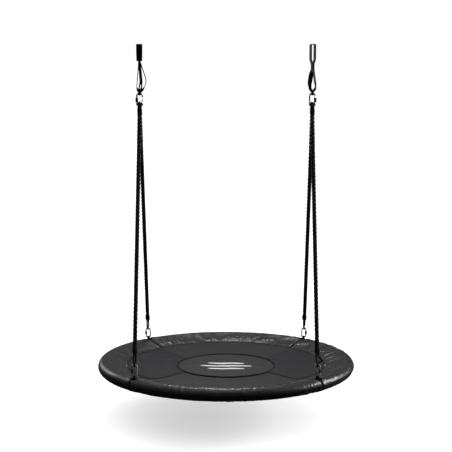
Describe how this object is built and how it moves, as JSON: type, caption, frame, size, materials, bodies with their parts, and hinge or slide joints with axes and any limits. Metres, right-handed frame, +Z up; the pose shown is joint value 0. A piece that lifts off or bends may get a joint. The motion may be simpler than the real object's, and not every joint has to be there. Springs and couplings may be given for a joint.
{
  "type": "saucer swing",
  "caption": "Round padded saucer swing: cloth seat on a steel ring in foam, hung by folded ropes and quick links from webbing straps.",
  "frame": {"origin": "midway between the flat faces under the crowns of the two hanging straps", "axes": "+Z up, +X to the right of someone in front of the swing, +Y away from them, so +X runs from the left strap to the right strap"},
  "size_m": [1.1, 1.1, 1.3866],
  "materials": {
    "webbing": "woven",
    "dark_nut": "dark plated",
    "bright_steel": "bright zinc plated",
    "twine": "waxed twine",
    "rope": "laid synthetic rope",
    "tube_steel": "galvanised",
    "foam": "closed-cell foam",
    "rim_cloth": "coated woven polyester",
    "seat_cloth": "coated woven polyester",
    "panel_cloth": "coated woven polyester",
    "side_cloth": "coated woven polyester"
  },
  "bodies": {
    "straps": {"hanging_strap_left": "webbing", "hanging_strap_right": "webbing"},
    "left_top_link": {"top_link_left": "bright_steel"},
    "right_top_link": {"top_link_right": "bright_steel"},
    "left_top_nut": {"top_link_nut_left": "dark_nut"},
    "right_top_nut": {"top_link_nut_right": "dark_nut"},
    "left_ropes": {"rope_left": "rope", "rope_seizing_left": "twine", "eye_whipping_front_left": "twine", "eye_whipping_rear_left": "twine", "seat_link_front_left": "bright_steel", "seat_link_rear_left": "bright_steel"},
    "front_left_nut": {"seat_link_nut_front_left": "dark_nut"},
    "rear_left_nut": {"seat_link_nut_rear_left": "dark_nut"},
    "right_ropes": {"rope_right": "rope", "rope_seizing_right": "twine", "eye_whipping_front_right": "twine", "eye_whipping_rear_right": "twine", "seat_link_front_right": "bright_steel", "seat_link_rear_right": "bright_steel"},
    "front_right_nut": {"seat_link_nut_front_right": "dark_nut"},
    "rear_right_nut": {"seat_link_nut_rear_right": "dark_nut"},
    "seat": {"centre_panel": "panel_cloth", "centre_piping": "twine", "coupler_screw_front_a": "bright_steel", "coupler_screw_front_b": "bright_steel", "coupler_screw_left_a": "bright_steel", "coupler_screw_left_b": "bright_steel", "coupler_screw_rear_a": "bright_steel", "coupler_screw_rear_b": "bright_steel", "coupler_screw_right_a": "bright_steel", "coupler_screw_right_b": "bright_steel", "rim_foam_front": "foam", "rim_foam_left": "foam", "rim_foam_rear": "foam", "rim_foam_right": "foam", "rim_sleeve_front": "rim_cloth", "rim_sleeve_left": "rim_cloth", "rim_sleeve_rear": "rim_cloth", "rim_sleeve_right": "rim_cloth", "rim_tab_front_left": "webbing", "rim_tab_front_right": "webbing", "rim_tab_rear_left": "webbing", "rim_tab_rear_right": "webbing", "rim_tube_front_left": "tube_steel", "rim_tube_front_right": "tube_steel", "rim_tube_rear_left": "tube_steel", "rim_tube_rear_right": "tube_steel", "seat_mat": "seat_cloth", "side_panel_left": "side_cloth", "side_panel_right": "side_cloth", "tube_coupler_front": "tube_steel", "tube_coupler_left": "tube_steel", "tube_coupler_rear": "tube_steel", "tube_coupler_right": "tube_steel"}
  },
  "joints": [
    {"name": "swing", "type": "hinge", "parent": "straps", "child": "left_top_link", "pos_m": [-0.3634, 0, -0.2027], "axis": [1, 0, 0], "range_deg": [-45, 45]},
    {"name": "swing_right", "type": "hinge", "parent": "straps", "child": "right_top_link", "pos_m": [0.3634, 0, -0.2027], "axis": [1, 0, 0], "range_deg": [-45, 45]},
    {"name": "sway", "type": "hinge", "parent": "left_top_link", "child": "left_ropes", "pos_m": [-0.3634, 0, -0.2451], "axis": [0, 1, 0], "range_deg": [-15, 15]},
    {"name": "seat_level", "type": "hinge", "parent": "left_ropes", "child": "seat", "pos_m": [-0.3634, 0, -1.31805], "axis": [0, 1, 0], "range_deg": [-15, 15]},
    {"name": "sway_right", "type": "hinge", "parent": "seat", "child": "right_ropes", "pos_m": [0.3634, 0, -1.31805], "axis": [0, 1, 0], "range_deg": [-15, 15]},
    {"name": "left_top_nut_travel", "type": "slide", "parent": "left_top_link", "child": "left_top_nut", "axis": [0, 0, 1], "range_m": [0, 0.0075]},
    {"name": "right_top_nut_travel", "type": "slide", "parent": "right_top_link", "child": "right_top_nut", "axis": [0, 0, 1], "range_m": [0, 0.0075]},
    {"name": "front_left_nut_travel", "type": "slide", "parent": "left_ropes", "child": "front_left_nut", "axis": [0, 0.3352, 0.9422], "range_m": [0, 0.007]},
    {"name": "rear_left_nut_travel", "type": "slide", "parent": "left_ropes", "child": "rear_left_nut", "axis": [0, -0.3352, 0.9422], "range_m": [0, 0.007]},
    {"name": "front_right_nut_travel", "type": "slide", "parent": "right_ropes", "child": "front_right_nut", "axis": [0, 0.3352, 0.9422], "range_m": [0, 0.007]},
    {"name": "rear_right_nut_travel", "type": "slide", "parent": "right_ropes", "child": "rear_right_nut", "axis": [0, -0.3352, 0.9422], "range_m": [0, 0.007]}
  ],
  "couplings": [
    {"joint": "swing_right", "follows": "swing", "ratio": 1},
    {"joint": "seat_level", "follows": "sway", "ratio": -1},
    {"joint": "sway_right", "follows": "sway", "ratio": 1}
  ]
}
